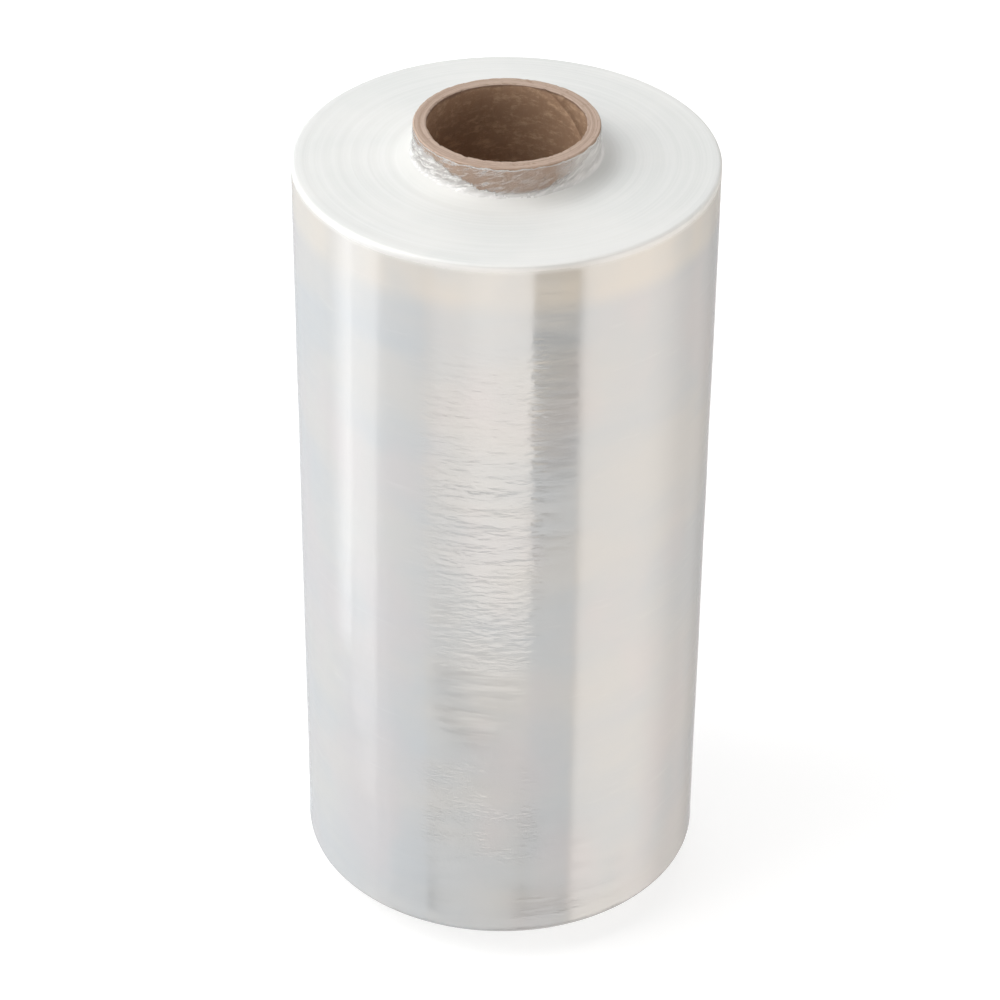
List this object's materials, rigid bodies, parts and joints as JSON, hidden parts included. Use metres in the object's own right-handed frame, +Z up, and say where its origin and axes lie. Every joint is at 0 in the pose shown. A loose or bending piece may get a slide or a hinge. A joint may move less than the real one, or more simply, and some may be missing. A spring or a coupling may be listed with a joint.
{
  "type": "stretch wrap roll",
  "caption": "Roll of clear stretch wrap: film wound tight on a brown paperboard core that stands out past both ends, with a torn collar of film round the upper end.",
  "frame": {"origin": "centre of the core's lower end face, which the roll stands on", "axes": "+Z up along the core's axis, towards the end with the torn film; -Y towards the viewer"},
  "size_m": [0.205, 0.205, 0.436],
  "materials": {
    "paperboard": "raw grey-brown paperboard, matt, spiral plies",
    "film": "wound clear film, milky and glossy, matter on the end faces"
  },
  "bodies": {
    "root": {"paper_core": "paperboard", "wound_film": "film", "torn_collar": "film"}
  },
  "joints": []
}
